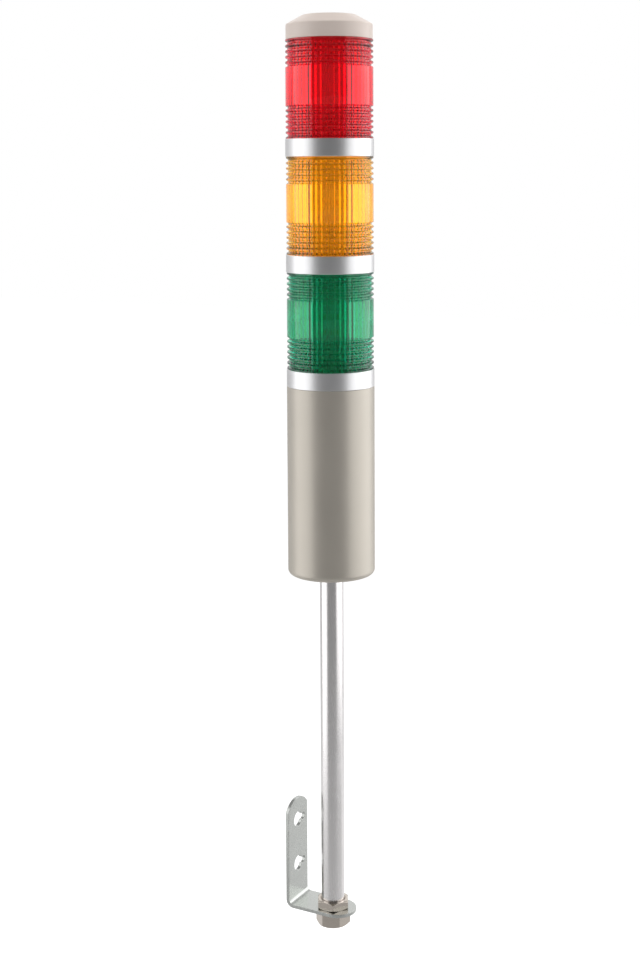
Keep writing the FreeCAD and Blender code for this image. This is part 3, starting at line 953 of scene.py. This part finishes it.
@dataclass
class ClampNut:
    """Thin hexagon nut with chamfered corners."""

    node: str
    turn_deg: float
    across_flats: float = 17.5
    bore_r: float = 6.8
    sink: float = 0.6
    chamfer_h: float = 1.0
    face_inset: float = 0.1
    blank_over: float = 0.2
    edge_round: float = 0.15
    edge_deg: float = 50.0
    sharp_deg: float = 15.0
    turn_steps: int = 144

    def blank(self) -> bmesh.types.BMesh:
        """Turn the chamfered and countersunk blank.

        Returns:
            The blank, about the origin and a little wider than the corners.
        """
        low, high = heights(self.node)
        face_r = self.across_flats / 2 - self.face_inset
        blank_r = self.across_flats / math.sqrt(3) + self.blank_over
        sink_r = self.bore_r + self.sink
        return lathe([
            (self.bore_r, low + self.sink), (sink_r, low), (face_r, low),
            (blank_r, low + self.chamfer_h), (blank_r, high - self.chamfer_h),
            (face_r, high), (sink_r, high), (self.bore_r, high - self.sink),
        ], self.turn_steps)

    def cut_flats(self, mesh: bmesh.types.BMesh) -> None:
        """Cut the six flats, and close each cut with a face.

        Args:
            mesh: The blank, about the origin.
        """
        flat_r = self.across_flats / 2
        for i in range(6):
            angle = math.radians(self.turn_deg + 30 + 60 * i)
            out = Vector((math.cos(angle), math.sin(angle), 0.0))
            cut = bmesh.ops.bisect_plane(mesh, geom=mesh.verts[:] + mesh.edges[:] + mesh.faces[:],
                                         plane_co=out * flat_r * MM, plane_no=out, clear_outer=True)
            rim = [item for item in cut["geom_cut"] if isinstance(item, bmesh.types.BMEdge)]
            bmesh.ops.contextual_create(mesh, geom=rim)
        bmesh.ops.recalc_face_normals(mesh, faces=mesh.faces)

    def build(self) -> None:
        """Turn the blank, cut its flats and dress it."""
        mesh = self.blank()
        self.cut_flats(mesh)
        onto_pole(mesh)
        piece = finish_piece(mesh, f"{self.node}_hexagon", NICKEL, [self.node],
                             sharp_deg=self.sharp_deg)
        round_edges(piece, self.edge_round, self.edge_deg)


# ------------------------------------------------------------------ bracket
@dataclass
class Bracket:
    """Bent zinc-plated strip with keyholes."""

    edge_round: float = 0.22
    edge_deg: float = 60.0
    flat_deg: float = 0.5
    weld: float = 1e-6

    def build(self) -> None:
        """Soften the sheared edges of the strip and dress it."""
        mesh = bmesh.new()
        mesh.from_mesh(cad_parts["l_bracket"].data)
        bmesh.ops.remove_doubles(mesh, verts=mesh.verts, dist=self.weld)
        bmesh.ops.dissolve_limit(mesh, angle_limit=math.radians(self.flat_deg),
                                 verts=mesh.verts, edges=mesh.edges)
        bmesh.ops.recalc_face_normals(mesh, faces=mesh.faces)
        piece = finish_piece(mesh, "l_bracket_sheet", ZINC, ["l_bracket"], body=BRACKET)
        round_edges(piece, self.edge_round, self.edge_deg)


# ------------------------------------------------------------------ studio
WHITE_LIGHT = (1.0, 1.0, 1.0, 1.0)


@dataclass(frozen=True)
class Softbox:
    """One rectangular soft light, placed by its turn round the pole from the camera's side."""

    name: str
    turn_deg: float
    width: float
    height: float
    reach: float
    raised: float
    radiance: float
    upright: bool = True
    mirrored: bool = True

    def place(self, middle: Vector, outward: Callable[[float], Vector]) -> None:
        """Stand the light and aim it at the object.

        Args:
            middle: The point that it faces.
            outward: Gives a level direction for a turn from the camera's side.
        """
        data = bpy.data.lights.new(self.name, "AREA")
        data.shape = "RECTANGLE"
        data.size = self.width
        data.size_y = self.height
        data.energy = self.radiance * math.pi * self.width * self.height
        lift = Vector((0, 0, self.raised))
        spot = middle + outward(self.turn_deg) * self.reach + lift
        target = middle + lift if self.upright else middle
        aim = (target - spot).to_track_quat("-Z", "Y").to_matrix().to_4x4()
        light = bpy.data.objects.new(self.name, data)
        light.matrix_world = Matrix.Translation(spot) @ aim
        light.visible_glossy = self.mirrored
        bpy.context.scene.collection.objects.link(light)


@dataclass
class Studio:
    """Pale floor, white surroundings, soft lights and the camera, with lengths in metres."""

    azimuth_deg: float = -61.0
    distance: float = 0.9
    camera_z: float = 0.3966
    pitch_deg: float = 5.5
    roll_deg: float = -0.3
    yaw_deg: float = 0.378
    focal_mm: float = 59.6
    shift_up: float = -0.1627
    aim_height: float = 0.22
    floor_drop: float = 0.25
    floor_reach: float = 6.0
    floor_grey: float = 0.55
    floor_glow: float = 0.8
    floor_mirrored: float = 0.4
    floor_mirrored_span: Span = (-0.3, 0.1)
    front_dim: float = 0.14
    front_span: Span = (-0.3, 0.25)
    back_level: float = 0.65
    back_level_above: float = 1.2
    back_span: Span = (0.05, 0.4)
    ceiling_level: float = 0.4
    ceiling_span: Span = (0.5, 0.75)
    softboxes: tuple[Softbox, ...] = (
        Softbox("left_softbox", -78.0, 0.95, 1.6, 0.85, 0.3, 1.3),
        Softbox("right_softbox", 87.0, 1.5, 1.25, 0.85, 0.2, 1.3),
        Softbox("back_softbox", 180.0, 0.9, 0.7, 0.9, 0.18, 1.8, mirrored=False),
        Softbox("top_softbox", 30.0, 0.8, 0.8, 0.3, 1.0, 2.2, upright=False, mirrored=False),
    )

    def outward(self, degrees: float) -> Vector:
        """Level direction from the pole, turned from the camera's side."""
        angle = math.radians(self.azimuth_deg + degrees)
        return Vector((math.sin(angle), -math.cos(angle), 0.0))

    def build(self) -> None:
        """Set up the stage, the world, the lights and the camera."""
        self.floor()
        self.world()
        middle = pole_axis() + Vector((0, 0, self.aim_height))
        for softbox in self.softboxes:
            softbox.place(middle, self.outward)
        self.camera()
        bpy.context.scene.view_settings.view_transform = "Standard"

    def floor(self) -> None:
        """Large pale floor below the hanging object."""
        mesh = bmesh.new()
        z = CAD_BOUNDS[0].z - self.floor_drop
        bmesh.ops.create_grid(mesh, x_segments=1, y_segments=1, size=self.floor_reach,
                              matrix=Matrix.Translation((0, 0, z)))
        data = bpy.data.meshes.new("floor")
        mesh.to_mesh(data)
        mesh.free()
        material = bpy.data.materials.new("pale_floor")
        material.use_nodes = True
        sheet = Sheet(material.node_tree)
        shader = sheet.tree.nodes["Principled BSDF"]
        glow = sheet.math("MULTIPLY", self.seen_white(sheet), self.floor_glow)
        grey = (self.floor_grey, self.floor_grey, self.floor_grey, 1.0)
        sheet.feed(shader, Base_Color=grey, Roughness=0.9, Specular_IOR_Level=0.0)
        sheet.feed(shader, Emission_Color=WHITE_LIGHT, Emission_Strength=glow)
        data.materials.append(material)
        floor = bpy.data.objects.new("floor", data)
        bpy.context.scene.collection.objects.link(floor)

    def seen_white(self, sheet: Sheet) -> bpy.types.NodeSocket:
        """Mask of the rays that show a white floor.

        Args:
            sheet: The floor material's sheet.

        Returns:
            1 for what is seen directly or through glass, and less for what metal mirrors of the
            floor behind the object.
        """
        path = sheet.add("ShaderNodeLightPath")
        seen = self.seen_directly(sheet, path)
        place = sheet.add("ShaderNodeNewGeometry").outputs["Position"]
        behind = sheet.add("ShaderNodeMapRange")
        sheet.feed(behind, Value=self.toward_camera(sheet, place))
        sheet.feed(behind, From_Min=self.floor_mirrored_span[0], From_Max=self.floor_mirrored_span[1])
        sheet.feed(behind, To_Min=self.floor_mirrored, To_Max=0.0)
        mirrored = sheet.math("MULTIPLY", path.outputs["Is Glossy Ray"], behind.outputs["Result"])
        return sheet.math("MAXIMUM", seen, mirrored)

    @staticmethod
    def seen_directly(sheet: Sheet, path: bpy.types.Node) -> bpy.types.NodeSocket:
        """Mask of what the camera sees directly or through glass."""
        return sheet.math("MAXIMUM", path.outputs["Is Camera Ray"], path.outputs["Is Transmission Ray"])

    def toward_camera(self, sheet: Sheet, place: bpy.types.NodeSocket) -> bpy.types.NodeSocket:
        """Work out how far a place or a direction lies toward the camera's side.

        Args:
            sheet: The sheet that takes the node.
            place: The place's or direction's socket.

        Returns:
            The distance's socket, under 0 behind the origin.
        """
        along = sheet.add("ShaderNodeVectorMath", operation="DOT_PRODUCT")
        sheet.join(place, along.inputs[0])
        along.inputs[1].default_value = self.outward(0)
        return along.outputs["Value"]

    def world(self) -> None:
        """White seen directly or through glass, and a room that dims toward the camera."""
        world = bpy.data.worlds.new("studio")
        world.use_nodes = True
        bpy.context.scene.world = world
        sheet = Sheet(world.node_tree)
        direction = sheet.add("ShaderNodeTexCoord").outputs["Generated"]
        parts = sheet.add("ShaderNodeSeparateXYZ")
        sheet.join(direction, parts.inputs[0])
        height = parts.outputs["Z"]
        back = sheet.ease(height, self.back_span, self.back_level, self.back_level_above)
        ceiling = sheet.ease(height, self.ceiling_span, back, self.ceiling_level)
        front = self.toward_camera(sheet, direction)
        room = sheet.ease(front, self.front_span, ceiling, self.front_dim)
        seen = self.seen_directly(sheet, sheet.add("ShaderNodeLightPath"))
        strength = sheet.math("MAXIMUM", seen, room)
        sheet.feed(sheet.tree.nodes["Background"], Color=WHITE_LIGHT, Strength=strength)

    def camera(self) -> None:
        """Camera at the height of the amber tier, tipped a little downward."""
        data = bpy.data.cameras.new("camera")
        data.lens = self.focal_mm
        data.shift_y = self.shift_up
        camera = bpy.data.objects.new("camera", data)
        place = pole_axis() + self.outward(0) * self.distance
        place.z = self.camera_z
        turn = Matrix.Rotation(math.radians(self.azimuth_deg + self.yaw_deg), 4, "Z")
        tip = Matrix.Rotation(math.radians(90 - self.pitch_deg), 4, "X")
        roll = Matrix.Rotation(math.radians(self.roll_deg), 4, "Z")
        camera.matrix_world = Matrix.Translation(place) @ turn @ tip @ roll
        bpy.context.scene.collection.objects.link(camera)
        bpy.context.scene.camera = camera


def main() -> None:
    """Build every sub-assembly in order and report it."""
    logging.basicConfig(level=logging.INFO, format="%(name)s: %(message)s")
    parts: list[tuple[str, Callable[[], None]]] = [("top cap", TopCap().build)]
    parts += [(f"{tier.value} tier", LightTier(tier).build) for tier in Tier]
    parts += [
        ("body", Body().build),
        ("pole", Pole().build),
        ("upper clamp nut", ClampNut("upper_clamp_nut", turn_deg=-151.0).build),
        ("lower clamp nut", ClampNut("lower_clamp_nut", turn_deg=-190.0).build),
        ("bracket", Bracket().build),
        ("studio", Studio().build),
    ]
    for label, build in parts:
        build()
        LOG.info("%s done", label)


if __name__ == "__main__":
    main()
